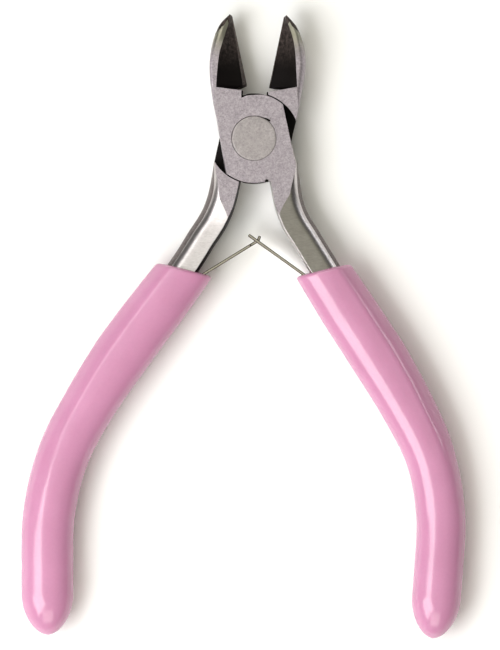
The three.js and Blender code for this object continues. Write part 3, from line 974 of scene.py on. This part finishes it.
leaf(FRONT, "leaf_right", ["right_spring_foot", "right_spring_arm"],
     lambda s, z: not (SLOT[0] < s < SLOT[1] and abs(z) < SLOT_W / 2),
     breaks(11.75, 0.4, *SLOT), across(SLOT_W))
leaf(REAR, "leaf_left", ["left_spring_foot", "left_spring_arm"],
     lambda s, z: s < NECK or abs(z) < TONGUE_W / 2,
     breaks(12.05, 0.4, NECK, HOOK, 11.32, 11.45), across(TONGUE_W), hook=(HOOK, 38))

for node in ("right_spring_rivet", "left_spring_rivet"):
    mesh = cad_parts[node].data
    mesh.materials.clear()
    mesh.materials.append(RIVET)


# ---- the table, the light and the camera ----
TABLE_HALF = 3.0
LIGHT_AIM = Vector((0, -0.02, 0))
WARM = (1, 0.95, 0.87)
SKY = [(0.72, (0.03, 0.03, 0.03, 1)), (0.9, (0.36, 0.36, 0.27, 1))]  # (height, colour)
# Name, degrees from straight above, azimuth from +X, distance, size, radiance and colour.
LIGHTS = [
    ("key", 42, 212, 0.75, (0.54, 0.54), 6.4, (1, 1, 1)),
    ("overhead", 19, 152, 1.8, (1.0, 1.0), 0.48, (1, 1, 1)),
    ("far", 52, 97, 0.8, (0.5, 0.4), 3.3, WARM),
    ("near", 52, -90, 0.8, (0.5, 0.4), 3.3, WARM),
    ("left", 33, 147, 0.9, (0.3, 0.24), 2.6, (1, 1, 1)),
    ("edge", 77, 32, 0.7, (0.45, 0.08), 5.0, (1, 1, 1)),
]
SENSOR = 36
CAMERA_DISTANCE = 1.2
VIEW_HEIGHT = 0.1144  # of what the camera sees at that distance
CAMERA_AIM = (-0.0007, -0.0328, 0.005)


def stage():
    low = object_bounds()[0][2]
    corners = ((-1, -1), (1, -1), (1, 1), (-1, 1))
    bm = bmesh.new()
    bm.faces.new([bm.verts.new((x * TABLE_HALF, y * TABLE_HALF, low)) for x, y in corners])
    n = Nodes("table_top")
    n.put(Roughness=0.7, Specular_IOR_Level=0.2)
    pale = n.ramp(n.noise(40, 2.0), (0.3, (0.93, 0.93, 0.925, 1)), (0.7, (0.95, 0.95, 0.945, 1)))
    n.join(pale, n.shader.inputs["Base Color"])
    floor = new_object("table", bm, [n.material])
    floor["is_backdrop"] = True


def soft_box(name, off, azimuth, distance, size, radiance, colour):
    light = bpy.data.lights.new(name, "AREA")
    light.shape = "RECTANGLE"
    light.size, light.size_y = size
    light.energy = radiance * math.pi * size[0] * size[1]
    light.color = colour
    obj = bpy.data.objects.new(name, light)
    bpy.context.scene.collection.objects.link(obj)
    off = math.radians(off)
    azimuth = math.radians(azimuth)
    away = Vector((math.sin(off) * math.cos(azimuth), math.sin(off) * math.sin(azimuth), math.cos(off)))
    obj.location = away * distance + LIGHT_AIM
    obj.rotation_euler = (-away).to_track_quat("-Z", "Y").to_euler()


def sky():
    """A plain sky that is bright overhead and dark towards the horizon."""
    world = bpy.data.worlds.new("studio")
    bpy.context.scene.world = world
    world.use_nodes = True
    tree = world.node_tree
    coords = tree.nodes.new("ShaderNodeTexCoord")
    split = tree.nodes.new("ShaderNodeSeparateXYZ")
    ramp = tree.nodes.new("ShaderNodeValToRGB")
    tree.links.new(coords.outputs["Generated"], split.inputs[0])
    tree.links.new(split.outputs["Z"], ramp.inputs["Fac"])
    tree.links.new(ramp.outputs["Color"], tree.nodes["Background"].inputs["Color"])
    for element, (position, colour) in zip(ramp.color_ramp.elements, SKY):
        element.position = position
        element.color = colour


def camera():
    data = bpy.data.cameras.new("camera")
    data.sensor_fit = "VERTICAL"
    data.sensor_height = SENSOR
    data.lens = SENSOR * CAMERA_DISTANCE / VIEW_HEIGHT
    obj = bpy.data.objects.new("camera", data)
    bpy.context.scene.collection.objects.link(obj)
    obj.location = Vector(CAMERA_AIM) + Vector((0, 0, CAMERA_DISTANCE))
    bpy.context.scene.camera = obj


stage()
sky()
for settings in LIGHTS:
    soft_box(*settings)
camera()
bpy.context.scene.view_settings.view_transform = "Standard"
